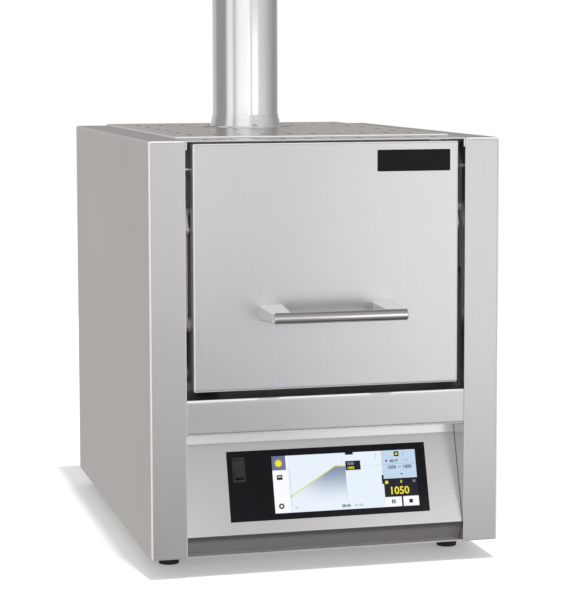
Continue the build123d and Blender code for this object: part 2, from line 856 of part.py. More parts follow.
# Thermocouple: a thin ceramic tube into the chamber and its head behind the inner casing
with BuildPart() as thermocouple:
    with BuildSketch(Plane.XZ.offset(-casing_back_y)):
        with Locations((probe_x, probe_z)):
            Circle(probe_head_radius)
    extrude(amount=-probe_head_length)
    with BuildSketch(Plane.XZ.offset(-casing_back_y)):
        with Locations((probe_x, probe_z)):
            Circle(probe_radius)
    extrude(amount=casing_back_y - chamber_back_y + probe_reach)
save(thermocouple, "thermocouple")

# Heating plates on both sides of the chamber, with shallow grooves over the wire
with BuildPart() as heating_plate_left:
    block(-block_inner_x, -chamber_x, mouth_back_y, chamber_back_y, floor_z, roof_z)
    groove_pitch = mouth_height / (groove_count + 1)
    groove_length = chamber_back_y - mouth_back_y - 2 * groove_end_margin
    with BuildSketch(Plane.YZ.offset(-chamber_x)):
        with Locations(((mouth_back_y + chamber_back_y) / 2, mouth_middle_z)):
            with GridLocations(0, groove_pitch, 1, groove_count):
                Rectangle(groove_length, groove_width)
    extrude(amount=-groove_depth, mode=Mode.SUBTRACT)
save(heating_plate_left, "heating_plate_left")
mirrored(heating_plate_left, "heating_plate_right")

with BuildPart() as hearth_plate:
    block(
        hearth_side_gap - chamber_x,
        chamber_x - hearth_side_gap,
        mouth_back_y + hearth_end_gap,
        chamber_back_y - hearth_end_gap,
        floor_z,
        hearth_z,
    )
    fillet(hearth_plate.edges().group_by(Axis.Z)[-1], radius=sheet)
save(hearth_plate, "hearth_plate")

# Relay on its finned sink, and the terminal block, on the bottom tray
tray_z = base_z + sheet
sink_top_z = tray_z + sink_fin + sink_base


def stand(x, width, depth, z_low, height):
    """A block in the middle of the furnace's depth, standing at z_low."""
    block(
        x - width / 2, x + width / 2, middle_y - depth / 2, middle_y + depth / 2, z_low, z_low + height
    )


with BuildPart() as relay_heatsink:
    stand(sink_x, sink_width, sink_depth, tray_z + sink_fin, sink_base)
    with BuildSketch(Plane.XY.offset(tray_z)):
        with Locations((sink_x, middle_y)):
            with GridLocations((sink_width - sink_fin_thickness) / (sink_fins - 1), 0, sink_fins, 1):
                Rectangle(sink_fin_thickness, sink_depth)
    extrude(amount=sink_fin)
    stand(sink_x, relay_width, relay_depth, sink_top_z, relay_height)
save(relay_heatsink, "relay_heatsink")

with BuildPart() as terminal_block:
    stand(terminal_x, terminal_count * terminal_pitch, terminal_depth, tray_z, terminal_height)
    with BuildSketch(Plane.XY.offset(tray_z + terminal_height)):
        with Locations((terminal_x, middle_y)):
            with GridLocations(terminal_pitch, terminal_depth / 2, terminal_count, 2):
                Rectangle(terminal_pocket, terminal_pocket)
    extrude(amount=-terminal_pocket_depth, mode=Mode.SUBTRACT)
save(terminal_block, "terminal_block")

# Pivot plates inside the posts, between the post front and the frame
plate_low_z = lower_pivot_z - 2 * pivot_shoulder_radius
plate_high_z = anchor_z + pivot_shoulder_radius
with BuildPart() as pivot_plate_left:
    block(
        -plate_outer_x,
        -plate_inner_x,
        front_y + sheet,
        frame_y,
        plate_low_z,
        plate_high_z,
    )
    with BuildSketch(Plane.YZ.offset(-plate_outer_x)):
        with Locations((upper_pivot_y, upper_pivot_z), (lower_pivot_y, lower_pivot_z)):
            Circle(pivot_radius + running_clearance)
        with Locations((crank_y, anchor_z)):
            Circle(crank_pin_radius + running_clearance)
    extrude(amount=pivot_plate_thickness, mode=Mode.SUBTRACT)
save(pivot_plate_left, "pivot_plate_left")
mirrored(pivot_plate_left, "pivot_plate_right")


def step(y, z, radius, x_low, x_high):
    """One cylindrical step of a pin, on both sides of the furnace."""
    for side in (-1, 1):
        with BuildSketch(Plane.YZ.offset(side * x_low)) as ring:
            with Locations((y, z)):
                Circle(radius)
        extrude(ring.sketch, amount=side * (x_high - x_low))


# Pivot pins with head, shoulder and nut, and the anchor pins of the springs
pin_head_x = arm_inner_x - side_clearance
pin_shoulder_x = arm_outer_x + side_clearance
with BuildPart() as pivot_pins:
    for pin_y, pin_z in ((upper_pivot_y, upper_pivot_z), (lower_pivot_y, lower_pivot_z)):
        step(pin_y, pin_z, pivot_head_radius, pin_head_x - pivot_head_thickness, pin_head_x)
        step(pin_y, pin_z, pivot_radius, pin_head_x, plate_outer_x + nut_height)
        step(pin_y, pin_z, pivot_shoulder_radius, pin_shoulder_x, plate_inner_x)
        for side in (-1, 1):
            with BuildSketch(Plane.YZ.offset(side * plate_outer_x)):
                with Locations((pin_y, pin_z)):
                    RegularPolygon(nut_across_flats / 2, 6, major_radius=False)
            extrude(amount=side * nut_height)
    step(crank_y, anchor_z, crank_pin_radius, spring_x - pivot_radius, plate_outer_x)
    step(crank_y, anchor_z, pivot_radius, plate_outer_x, plate_outer_x + sheet)
save(pivot_pins, "pivot_pins")


def arm_blank(top, bottom):
    """Flat bar with round ends, between two pivots given as (y, z)."""
    with BuildSketch(Plane.YZ.offset(-arm_outer_x)) as bar:
        with Locations(top, bottom):
            Circle(arm_width / 2)
        make_hull()
    extrude(bar.sketch, amount=arm_thickness)


upper_pivot = (upper_pivot_y, upper_pivot_z)
upper_tip = (upper_tip_y, upper_tip_z)
lower_pivot = (lower_pivot_y, lower_pivot_z)
lower_tip = (lower_tip_y, lower_tip_z)
crank = (crank_y, crank_z)
shaft_hole_radius = shaft_end_radius + running_clearance

# Upper arms, bell-cranks whose short side carries the spring's pin
with BuildPart() as upper_arm_left:
    arm_blank(upper_pivot, upper_tip)
    with BuildSketch(Plane.YZ.offset(-arm_outer_x)):
        with Locations(upper_pivot):
            Circle(arm_width / 2)
        with Locations(crank):
            Circle(crank_lobe_radius)
        make_hull()
    extrude(amount=arm_thickness)
    with BuildSketch(Plane.YZ.offset(-arm_outer_x)):
        with Locations(upper_pivot):
            Circle(pivot_radius + running_clearance)
        with Locations(upper_tip):
            Circle(shaft_hole_radius)
    extrude(amount=arm_thickness, mode=Mode.SUBTRACT)
    with BuildSketch(Plane.YZ.offset(-arm_inner_x)):
        with Locations(crank):
            Circle(crank_pin_radius)
    extrude(amount=arm_inner_x - spring_x + pivot_radius)
save(upper_arm_left, "upper_arm_left")
mirrored(upper_arm_left, "upper_arm_right")

with BuildPart() as lower_arm_left:
    arm_blank(lower_pivot, lower_tip)
    with BuildSketch(Plane.YZ.offset(-arm_outer_x)):
        with Locations(lower_pivot):
            Circle(pivot_radius + running_clearance)
        with Locations(lower_tip):
            Circle(shaft_hole_radius)
    extrude(amount=arm_thickness, mode=Mode.SUBTRACT)
save(lower_arm_left, "lower_arm_left")
mirrored(lower_arm_left, "lower_arm_right")


def tie_shaft(label, tip, radius):
    """Shaft that joins the arms' tips on both sides, riveted over outside the arms."""
    with BuildPart() as shaft:
        with BuildSketch(Plane.YZ):
            with Locations(tip):
                Circle(radius)
        extrude(amount=arm_inner_x, both=True)
        step(*tip, shaft_end_radius, arm_inner_x, arm_outer_x + rivet_height)
        step(*tip, rivet_radius, arm_outer_x, arm_outer_x + rivet_height)
    save(shaft, label)


tie_shaft("upper_tie_shaft", upper_tip, upper_shaft_radius)
tie_shaft("lower_tie_shaft", lower_tip, lower_shaft_radius)

# Balance springs between the crank pins and the anchor pins, with an eye at each end
eye_radius = crank_pin_radius + spring_eye_clearance + spring_wire
coil_radius = spring_radius - spring_wire
coil_low_z = crank_z + eye_radius + spring_wire
coil_high_z = anchor_z - eye_radius - spring_wire
coil_height = coil_high_z - coil_low_z
with BuildPart() as lift_spring_left:
    with BuildLine():
        turns = Helix(
            pitch=coil_height / spring_coils,
            height=coil_height,
            radius=coil_radius,
            center=(-spring_x, crank_y, coil_low_z),
        )
    with BuildSketch(Plane(origin=turns @ 0, z_dir=turns % 0)):
        RegularPolygon(spring_wire, spring_wire_sides, rotation=spring_wire_turn)
    sweep(is_frenet=True)
    for eye_z, end_z in ((crank_z, coil_low_z), (anchor_z, coil_high_z)):
        with BuildSketch(Plane(origin=(-spring_x, crank_y, eye_z), x_dir=(0, 1, 0), z_dir=(1, 0, 0))):
            Circle(eye_radius + spring_wire)
            Circle(eye_radius - spring_wire, mode=Mode.SUBTRACT)
        extrude(amount=spring_wire, both=True)
        with BuildSketch(Plane.XY.offset(end_z - spring_wire)):
            with Locations((-spring_x, crank_y)):
                Circle(spring_radius)
        extrude(amount=2 * spring_wire)
save(lift_spring_left, "lift_spring_left")
mirrored(lift_spring_left, "lift_spring_right")

# Door skin: a shallow tray, open at the back
with BuildPart() as door_skin:
    block(
        -door_x, door_x, front_y, front_y + door_skin_depth, door_bottom_z, door_top_z
    )
    front_rim = door_skin.edges().group_by(Axis.Y)[0]
    skin_corners = door_skin.edges().filter_by(Axis.Y)
    fillet(front_rim + skin_corners, radius=small_bend)
    offset(amount=-sheet, openings=[door_skin.faces().sort_by(Axis.Y)[-1]])
    with BuildSketch(Plane.XZ.offset(-front_y)):
        with Locations((0, door_bottom_z + bar_height_on_door)):
            with GridLocations(bar_length - bracket_front_width, 0, 2, 1):
                Circle(screw_shank_radius + running_clearance)
    extrude(amount=-2 * sheet, mode=Mode.SUBTRACT)
save(door_skin, "door_skin")

back_plate_x = door_x - sheet - side_clearance
with BuildPart() as door_back_plate:
    with BuildSketch(Plane.XZ.offset(-skin_back_y)):
        with Locations((0, door_middle_z)):
            RectangleRounded(
                2 * back_plate_x, door_height - 2 * sheet - 2 * side_clearance, small_bend
            )
    extrude(amount=sheet)
save(door_back_plate, "door_back_plate")

# Door ears, which turn on the upper shaft and hold the lower one with some play
ear_middle_z = (upper_tip_z + lower_tip_z) / 2
ear_height = upper_tip_z - lower_tip_z + 2 * ear_boss_radius
with BuildPart() as door_ears:
    for side in (-1, 1):
        with BuildSketch(Plane.YZ.offset(side * ear_inner_x)):
            with Locations(upper_tip, lower_tip):
                Circle(ear_radius)
            with Locations((skin_back_y + sheet, ear_middle_z)):
                Rectangle(2 * sheet, ear_height)
            make_hull()
        extrude(amount=side * ear_thickness)
        with BuildSketch(Plane.YZ.offset(side * ear_outer_x)):
            with Locations(upper_tip, lower_tip):
                Circle(ear_boss_radius)
        extrude(amount=side * (ear_boss_x - ear_outer_x))
        with BuildSketch(Plane.XZ.offset(-skin_back_y)):
            with Locations((side * (ear_inner_x - ear_flange / 2), ear_middle_z)):
                Rectangle(ear_flange + ear_thickness, ear_height)
        extrude(amount=-sheet)
    with BuildSketch(Plane.YZ):
        with Locations(upper_tip):
            Circle(upper_shaft_radius + running_clearance)
        with Locations(lower_tip):
            Circle(lower_shaft_radius + open_pivot_clearance)
    extrude(amount=mouth_x, both=True, mode=Mode.SUBTRACT)
save(door_ears, "door_ears")

# Door casing behind the air gap, on four stand-offs, and the insulation in it with its plug
casing_half = chamber_x + door_casing_overlap
casing_middle_z = (casing_foot_z + casing_head_z) / 2
casing_height = casing_head_z - casing_foot_z
with BuildPart() as door_casing:
    block(
        -casing_half,
        casing_half,
        casing_front_y,
        casing_front_y + door_casing_side,
        casing_foot_z,
        casing_head_z,
    )
    fillet(door_casing.edges().group_by(Axis.Y)[0], radius=small_bend)
    offset(amount=-sheet, openings=[door_casing.faces().sort_by(Axis.Y)[-1]])
    with BuildSketch(Plane.XZ.offset(-skin_back_y)):
        with Locations((0, casing_middle_z + door_casing_overlap)):
            with GridLocations(standoff_spacing_x, standoff_spacing_z, 2, 2):
                Circle(standoff_radius)
    extrude(amount=-door_cavity)
save(door_casing, "door_casing")

with BuildPart() as door_insulation:
    with BuildSketch(Plane.XZ.offset(-casing_front_y - sheet)):
        with Locations((0, casing_middle_z)):
            Rectangle(2 * casing_half - 2 * sheet, casing_height - 2 * sheet)
    extrude(amount=-(door_casing_side + door_insulation_proud - sheet))
    fillet(door_insulation.edges().group_by(Axis.Y)[0], radius=small_bend)
    with BuildSketch(Plane.XZ.offset(-door_back_y)):
        with Locations((0, mouth_middle_z)):
            Rectangle(
                2 * chamber_x - 2 * plug_clearance, mouth_height - 2 * plug_clearance
            )
    extrude(amount=-plug_length)
    chamfer(door_insulation.faces().sort_by(Axis.Y)[-1].edges(), length=small_bend)
save(door_insulation, "door_insulation")

# Handle: a round bar on two tapered brackets, screwed on from inside the skin
bar_y = front_y - bar_reach
bar_z = door_bottom_z + bar_height_on_door
bracket_x = (bar_length - bracket_front_width) / 2
with BuildPart() as handle_bar:
    with BuildSketch(Plane.YZ):
        with Locations((bar_y, bar_z)):
            Circle(bar_radius)
    extrude(amount=bar_length / 2, both=True)
    chamfer(handle_bar.edges().filter_by(GeomType.CIRCLE), length=bar_edge)
save(handle_bar, "handle_bar")


def handle_bracket(label, x):
    """Tapered bracket whose front is cut to the round of the bar."""
    with BuildPart() as bracket:
        with BuildSketch(Plane.XZ.offset(-front_y)):
            with Locations((x, bar_z)):
                RectangleRounded(bracket_root_width, bracket_root_height, small_bend)
        with BuildSketch(Plane.XZ.offset(-bar_y)):
            with Locations((x, bar_z)):
                RectangleRounded(bracket_front_width, bracket_front_height, small_bend)
        loft()
        with BuildSketch(Plane.YZ):
            with Locations((bar_y, bar_z)):
                Circle(bar_radius + running_clearance)
        extrude(amount=bar_length, both=True, mode=Mode.SUBTRACT)
        with BuildSketch(Plane.XZ.offset(-front_y)):
            with Locations((x, bar_z)):
                Circle(screw_shank_radius + running_clearance)
        extrude(amount=bracket_hole_depth, mode=Mode.SUBTRACT)
    save(bracket, label)


handle_bracket("handle_bracket_left", -bracket_x)
handle_bracket("handle_bracket_right", bracket_x)

with BuildPart() as handle_screws:
    screw_shapes(
        Plane.XZ.offset(-front_y - sheet),
        [(-bracket_x, bar_z), (bracket_x, bar_z)],
        handle_screw_length + sheet,
    )
save(handle_screws, "handle_screws")

# Small blank plate at the upper right of the door
with BuildPart() as door_plate:
    with BuildSketch(Plane.XZ.offset(-front_y)):
        with Locations(
            (
                door_x - plate_inset_side - plate_width / 2,
                door_top_z - plate_inset_top - plate_height / 2,
            )
        ):
            RectangleRounded(plate_width, plate_height, plate_thickness)
    extrude(amount=plate_thickness)
save(door_plate, "door_plate")

# Door contact switch on the cross-member, beside the door's ear
switch_x = ear_inner_x - ear_flange - switch_gap - switch_width / 2
switch_top_z = member_top_z + switch_height
with BuildPart() as door_switch:
    block(
        -switch_x - switch_width / 2,
        -switch_x + switch_width / 2,
        frame_y - switch_depth,
        frame_y,
        member_top_z,
        switch_top_z,
    )
    with BuildSketch(Plane.XY.offset(switch_top_z)):
        with Locations((-switch_x, frame_y - switch_depth / 2)):
            Circle(plunger_radius)
    extrude(amount=plunger_height)
save(door_switch, "door_switch")
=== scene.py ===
"""Looks of a bench ashing furnace, built round its fixed frame. Sizes are in metres."""

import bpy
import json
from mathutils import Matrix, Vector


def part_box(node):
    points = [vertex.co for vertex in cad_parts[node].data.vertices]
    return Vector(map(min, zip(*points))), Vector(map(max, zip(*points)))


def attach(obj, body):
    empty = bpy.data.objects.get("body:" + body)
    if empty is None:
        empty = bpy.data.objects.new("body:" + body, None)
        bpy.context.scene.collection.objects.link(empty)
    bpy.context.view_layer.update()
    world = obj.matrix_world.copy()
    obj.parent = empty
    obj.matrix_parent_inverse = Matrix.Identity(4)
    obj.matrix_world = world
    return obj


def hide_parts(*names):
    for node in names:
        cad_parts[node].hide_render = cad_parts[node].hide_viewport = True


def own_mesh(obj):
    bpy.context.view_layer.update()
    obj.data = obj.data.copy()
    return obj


bl_info = {
    "name": "Ashing furnace",
    "version": (1, 0, 0),
    "blender": (4, 5, 0),
    "location": "View3D > Sidebar > Furnace",
    "description": "Builds the finishes, the lit screen, the springs and the studio of an ashing furnace",
    "category": "Object",
}

import json
import math

import bpy
from mathutils import Vector

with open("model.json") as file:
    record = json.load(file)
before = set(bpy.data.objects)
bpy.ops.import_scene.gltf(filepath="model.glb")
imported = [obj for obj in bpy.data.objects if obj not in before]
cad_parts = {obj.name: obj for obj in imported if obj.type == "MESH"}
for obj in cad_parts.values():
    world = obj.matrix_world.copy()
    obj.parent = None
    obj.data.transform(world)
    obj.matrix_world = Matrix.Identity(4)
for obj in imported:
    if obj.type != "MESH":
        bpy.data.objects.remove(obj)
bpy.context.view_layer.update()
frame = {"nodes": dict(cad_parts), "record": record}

MM = 0.001

# Steps of the round wire: round its section, for a turn, for a bend and for an eye
WIRE_SIDES = 12
COIL_STEPS = 28
BEND_STEPS = 8
EYE_STEPS = 22
EYE_TURN = math.radians(330)

# How far the digits stand off the screen's face, and half their thickness
DIGIT_LIFT = 0.04 * MM
DIGIT_HALF = 0.03 * MM

# Soft boxes that metal sees all round: direction, half width and soft edge in degrees, level
SOFT_BOXES = (
    (-7.0, 17.0, 14.0, 0.38),
    (-55.0, 7.0, 11.0, 0.55),
    (25.0, 18.0, 88.0, 0.44),
    (-150.0, 12.0, 28.0, 0.30),
    (180.0, 16.0, 30.0, 0.15),
)
BETWEEN_BOXES = 0.36

# Lamps with an even face: name, place, width and height, level, and whether metal sees them
LAMPS = (
    ("camera_side", (-0.62, -2.35, 0.75), (0.5, 0.5), 16.0, False),
    ("left_panel", (0.02, -1.45, 0.37), (0.14, 0.46), 0.85, True),
    ("right_panel", (0.66, -1.45, 0.21), (0.66, 0.82), 0.62, True),
)
AIM = Vector((0, 0, 0.3))


# Properties

def colour(name, description, default):
    """A colour that the sidebar shows as a swatch."""
    return bpy.props.FloatVectorProperty(
        name=name, description=description, default=default, subtype="COLOR", size=3, min=0.0, max=1.0
    )


def length(name, description, default):
    """A length, held in metres."""
    return bpy.props.FloatProperty(
        name=name, description=description, default=default, unit="LENGTH", min=0.0, precision=5
    )


def turned(name, description, degrees):
    """An angle, given in degrees and held in radians."""
    return bpy.props.FloatProperty(
        name=name, description=description, default=math.radians(degrees), subtype="ANGLE"
    )


def share(name, description, default):
    """A plain number from 0 up."""
    return bpy.props.FloatProperty(
        name=name, description=description, default=default, min=0.0, subtype="FACTOR", soft_max=1.0
    )


class FurnaceFinishes(bpy.types.PropertyGroup):
    """Colours of the furnace's materials."""

    housing: colour("Housing", "Brushed sheet of the housing", (0.62, 0.608, 0.60))
    door: colour("Door", "Brushed sheet of the door", (0.63, 0.63, 0.637))
    pipe: colour("Pipe", "Drawn tube of the exhaust pipe", (0.80, 0.80, 0.80))
    frame: colour("Inner sheets", "Heat-dulled sheets inside", (0.56, 0.53, 0.50))
    guide: colour("Guide", "Plain steel of the door's arms", (0.58, 0.56, 0.53))
    pin: colour("Pins", "Bright turned pins, screws and springs", (0.88, 0.88, 0.87))
    bar: colour("Handle bar", "Polished bar of the handle", (0.80, 0.78, 0.77))
    bracket: colour("Brackets", "Satin brackets of the handle", (0.90, 0.89, 0.89))
    badge: colour("Plate", "Blank dark plate on the door", (0.003, 0.003, 0.003))
    fascia: colour("Fascia", "Black glass of the controller", (0.004, 0.004, 0.006))
    plastic: colour("Plastic", "Moulded black plastic", (0.005, 0.0053, 0.0066))
    rubber: colour("Rubber", "Rubber of the feet", (0.014, 0.014, 0.014))
    board: colour("Board", "Pressed fibre of the insulation", (0.78, 0.75, 0.68))
    ceramic: colour("Ceramic", "Unglazed ceramic of the chamber", (0.70, 0.63, 0.53))
    aluminium: colour("Aluminium", "Extruded heat sink", (0.56, 0.56, 0.57))
    terminal: colour("Terminals", "Moulded terminal block", (0.62, 0.60, 0.52))
    # Near-black tone painted as shade on the walls and rims of the slots in the top
    slots: colour("Slots", "Punched walls of the slots in the top", (0.045, 0.04, 0.04))
    # Light tone painted on bends and edges as a highlight, strongest at the front
    edge: colour("Edges", "Bright edges of the bent sheets", (0.97, 0.965, 0.965))
    grain: share("Grain", "How strong the brushed lines are", 0.5)


class FurnaceDisplay(bpy.types.PropertyGroup):
    """Colours of the controller's screen."""

    paper: colour("Background", "Lit background of the screen", (0.84, 0.92, 1.0))
    white: colour("White", "Column of icons and the buttons", (0.97, 0.98, 1.0))
    chart: colour("Chart", "Filled area under the curve", (0.22, 0.28, 0.42))
    line: colour("Line", "Line of the curve", (0.66, 0.72, 0.10))
    panel: colour("Light block", "Light block at the right", (0.55, 0.70, 0.87))
    dark: colour("Dark block", "Dark block with the value", (0.004, 0.005, 0.014))
    digits: colour("Digits", "Lit digits", (0.90, 0.80, 0.03))
    icon: colour("Icons", "Square behind the lamp sign", (0.15, 0.18, 0.30))
    faint: colour("Faint", "Thin lines and faint digits", (0.36, 0.40, 0.46))
    glow: share("Glow", "Strength of the screen's own light", 0.97)


class FurnaceSprings(bpy.types.PropertyGroup):
    """Sizes of the balance springs."""

    wire: length("Wire", "Radius of the spring wire", 0.6 * MM)
    coil: length("Coil", "Radius of the coil's centre line", 2.9 * MM)
    eye: length("Eye", "Half the width of the eyes' centre line", 3.4 * MM)
    long: share("Long eyes", "Height of an eye over its width, so that it clears its pin", 2.2)
    coils: bpy.props.IntProperty(name="Coils", description="Number of turns", default=8, min=2)
    kept: share("Kept length", "Share of its length that a spring keeps with the door open", 0.418)


class FurnaceStudio(bpy.types.PropertyGroup):
    """The photograph's camera and light."""

    place: bpy.props.FloatVectorProperty(
        name="Camera", description="Place of the camera", subtype="TRANSLATION", unit="LENGTH",
        default=(-0.5636, -2.2647, 0.5463),
    )
    yaw: turned("Yaw", "Camera's turn to the right of straight ahead", 14.40)
    pitch: turned("Pitch", "Camera's turn downwards", 5.14)
    roll: turned("Roll", "Camera's turn about its own axis", 0.12)
    lens: bpy.props.FloatProperty(
        name="Lens", description="Focal length", default=120.18, min=1.0, unit="CAMERA"
    )
    shift_x: bpy.props.FloatProperty(
        name="Shift across", description="Sideways lens shift", default=-0.011, subtype="FACTOR"
    )
    shift_y: bpy.props.FloatProperty(
        name="Shift up", description="Upward lens shift", default=-0.1, subtype="FACTOR"
    )
    fill: share("Fill", "Level of the even light from all round", 0.60)
    floor_size: length("Floor's size", "Side of the square floor", 4.0)
    floor_seen: share("Floor", "Tone of the floor as the camera sees it", 0.9)
    floor_bounce: share("Floor's bounce", "Tone of the floor for the light it throws back", 0.5)
    floor_glow: share("Floor glow", "Own light of the pale floor as the camera sees it", 0.25)
    sun: share("Overhead", "Level of the lamp above", 0.55)
    sun_width: turned("Overhead's width", "Angle that the lamp above covers", 2.5)
    sun_tilt: turned("Overhead's tilt", "How far the lamp above stands to the front", 14.0)
    sun_side: turned("Overhead's lean", "How far the lamp above stands to the side", 2.0)


# Node trees

def feed(tree, place, value):
    """Links a signal to a socket, or sets the socket to a plain value."""
    if isinstance(value, Signal):
        tree.links.new(value.socket, place)
    elif hasattr(value, "__len__") and place.type == "RGBA":
        place.default_value = (*value[:3], 1.0)
    else:
        place.default_value = value


class Signal:
    """A socket of a node tree, on which Python's arithmetic adds Math nodes."""

    def __init__(self, tree, socket):
        self.tree = tree
        self.socket = socket

    def maths(self, operation, *others, swapped=False):
        """The result of a Math node on this signal and others."""
        node = self.tree.nodes.new("ShaderNodeMath")
        node.operation = operation
        values = (*others, self) if swapped else (self, *others)
        for place, value in zip(node.inputs, values):
            feed(self.tree, place, value)
        return Signal(self.tree, node.outputs[0])

    def __add__(self, other):
        return self.maths("ADD", other)

    def __sub__(self, other):
        return self.maths("SUBTRACT", other)

    def __rsub__(self, other):
        return self.maths("SUBTRACT", other, swapped=True)

    def __mul__(self, other):
        return self.maths("MULTIPLY", other)

    def __truediv__(self, other):
        return self.maths("DIVIDE", other)

    def __gt__(self, other):
        return self.maths("GREATER_THAN", other)

    def __lt__(self, other):
        return self.maths("LESS_THAN", other)

    def __abs__(self):
        return self.maths("ABSOLUTE")

    __radd__ = __add__
    __rmul__ = __mul__

    def either(self, other):
        """Of two masks, the one that is stronger."""
        return self.maths("MAXIMUM", other)


class Tree:
    """A node tree, and the one way in which nodes are added to it."""

    def __init__(self, tree):
        self.tree = tree

    def node(self, kind, settings=None, inputs=None, output=0):
        """Adds a node with its settings, then the values or links of its sockets."""
        node = self.tree.nodes.new(kind)
        for key, value in (settings or {}).items():
            setattr(node, key, value)
        for place, value in (inputs or {}).items():
            feed(self.tree, node.inputs[place], value)
        return Signal(self.tree, node.outputs[output])

    def parts(self, vector):
        """The three numbers of a vector."""
        split = self.node("ShaderNodeSeparateXYZ", inputs={0: vector})
        return [Signal(self.tree, socket) for socket in split.socket.node.outputs]

    def blend(self, factor, first, second):
        """A colour between two colours."""
        return self.node(
            "ShaderNodeMix", {"data_type": "RGBA"}, {0: factor, 6: first, 7: second}, output=2
        )

    def rise(self, value, low, high):
        """0 below low, 1 above high, and a smooth step between them."""
        return self.node(
            "ShaderNodeMapRange",
            {"interpolation_type": "SMOOTHSTEP"},
            {"Value": value, "From Min": low, "From Max": high},
        )

    def hump(self, value, centre, half, soft):
        """1 within half of the centre, and 0 further off than half and soft together."""
        return 1 - self.rise(abs(value - centre), half, half + soft)


class Finish(Tree):
    """A material with a principled shader, whose patterns read Object coordinates."""

    def __init__(self, name):
        self.material = bpy.data.materials.new(name)
        self.material.use_nodes = True
        super().__init__(self.material.node_tree)
        self.shader = self.tree.nodes["Principled BSDF"]
        self.place = self.node("ShaderNodeTexCoord", output=3)

    def scaled(self, scale):
        """Object coordinates, stretched by a scale for each axis."""
        return self.node("ShaderNodeMapping", inputs={"Vector": self.place, "Scale": scale})

    def noise(self, scale, detail=3.0, roughness=0.55):
        """Cloudy noise from 0 to 1, with a scale for each axis."""
        inputs = {"Vector": self.scaled(scale), "Scale": 1.0, "Detail": detail, "Roughness": roughness}
        return self.node("ShaderNodeTexNoise", inputs=inputs)

    def specks(self, scale):
        """Distance to the nearest of many scattered points."""
        return self.node("ShaderNodeTexVoronoi", inputs={"Vector": self.scaled(scale), "Scale": 1.0})

    def bump(self, height, strength, distance, normal=None):
        """Sends a height to the shader's normal."""
        inputs = {"Height": height, "Strength": strength, "Distance": distance}
        if normal is not None:
            inputs["Normal"] = normal
        self.set(Normal=self.node("ShaderNodeBump", inputs=inputs))

    def facing(self, axis):
        """How far the surface faces along one axis, from -1 to 1."""
        return self.parts(self.node("ShaderNodeNewGeometry", output=1))[axis]

    def edges(self, radius):
        """A mask for the painted highlight on bends and edges, strongest at the front, and the normal of
        rounded edges.

        The mask before it is weakened away from the front is kept as corner.
        """
        rounded = self.node("ShaderNodeBevel", {"samples": 6}, {"Radius": radius})
        flat = self.node("ShaderNodeNewGeometry", output=1)
        agreement = self.node(
            "ShaderNodeVectorMath", {"operation": "DOT_PRODUCT"}, {0: rounded, 1: flat}, output=1
        )
        x, y, z = self.parts(flat)
        square = abs(x).either(abs(y)).either(abs(z))
        bend = 1 - self.rise(square, 0.90, 0.98)
        self.corner = bend.either(1 - self.rise(agreement, 0.90, 0.992))
        # Painted highlight: the mask is strongest where a bend faces the front
        forward = self.rise(self.parts(rounded)[1] * -1.0, 0.05, 0.25)
        return self.corner * (forward * 0.85 + 0.15), rounded

    def set(self, **sockets):
        """Sets or links sockets of the shader, named with underscores for spaces."""
        for name, value in sockets.items():
            feed(self.tree, self.shader.inputs[name.replace("_", " ")], value)


def tinted(tone, factor):
    """A colour made lighter or darker by a factor."""
    return tuple(min(1.0, part * factor) for part in tone)


GRAIN = {"X": (10, 1500, 1500), "Y": (1500, 10, 1500), "Z": (1500, 1500, 10)}


def brushed(name, tone, axis, roughness, strength, edge=None):
    """Brushed sheet: fine lines along one axis, soft marks of handling, and a painted highlight on bends
    and edges when a highlight tone is given.
    """
    finish = Finish(name)
    lines = finish.noise(GRAIN[axis], detail=2)
    marks = finish.noise((7, 7, 7), detail=4)
    mix = lines * 0.6 + marks * 0.4
    sheet = finish.blend(mix, tinted(tone, 1 - 0.16 * strength), tinted(tone, 1 + 0.12 * strength))
    finish.set(
        Base_Color=sheet,
        Metallic=1.0,
        Roughness=roughness + (lines - 0.5) * (0.20 * strength) + (marks - 0.5) * 0.08,
    )
    if edge is None:
        finish.bump(lines, 0.06 * strength, 0.0004)
    else:
        # Painted highlight: bends and edges take a light, less metallic tone
        painted_edge_highlight, rounded = finish.edges(1.8 * MM)
        finish.set(Base_Color=finish.blend(painted_edge_highlight, sheet, edge), Metallic=1 - painted_edge_highlight * 0.7)
        finish.bump(lines, 0.06 * strength, 0.0004, rounded)
    return finish


def drawn_tube(name, tone):
    """Polished tube with faint lines along its length."""
    finish = Finish(name)
    lines = finish.noise((700, 700, 3), detail=2)
    haze = finish.noise((12, 12, 5), detail=3)
    finish.set(
        Base_Color=finish.blend(lines, tinted(tone, 0.95), tinted(tone, 1.03)),
        Metallic=1.0,
        Roughness=0.10 + lines * 0.05 + haze * 0.05,
    )
    finish.bump(haze, 0.05, 0.0006)


def mill(name, tone, roughness, contrast=0.3, metallic=1.0):
    """Plain rolled steel with cloudy tone and small scratches."""
    finish = Finish(name)
    cloud = finish.noise((16, 16, 16), detail=5)
    scratches = finish.noise((900, 60, 120), detail=2)
    mix = cloud * 0.7 + scratches * 0.3
    finish.set(
        Base_Color=finish.blend(mix, tinted(tone, 1 - contrast), tinted(tone, 1 + contrast)),
        Metallic=metallic,
        Roughness=roughness + (cloud - 0.5) * 0.2 + (scratches - 0.5) * 0.1,
    )
    finish.bump(scratches, 0.08, 0.0003)


def overlaid(finish, mask, tone):
    """Lays a matt tone over a sheet where the mask is 1."""
    sheet = finish.shader.inputs["Base Color"].links[0].from_socket
    gloss = finish.shader.inputs["Metallic"].links[0].from_socket
    finish.set(
        Base_Color=finish.blend(mask, Signal(finish.tree, sheet), tone),
        Metallic=Signal(finish.tree, gloss) * (1 - mask),
    )


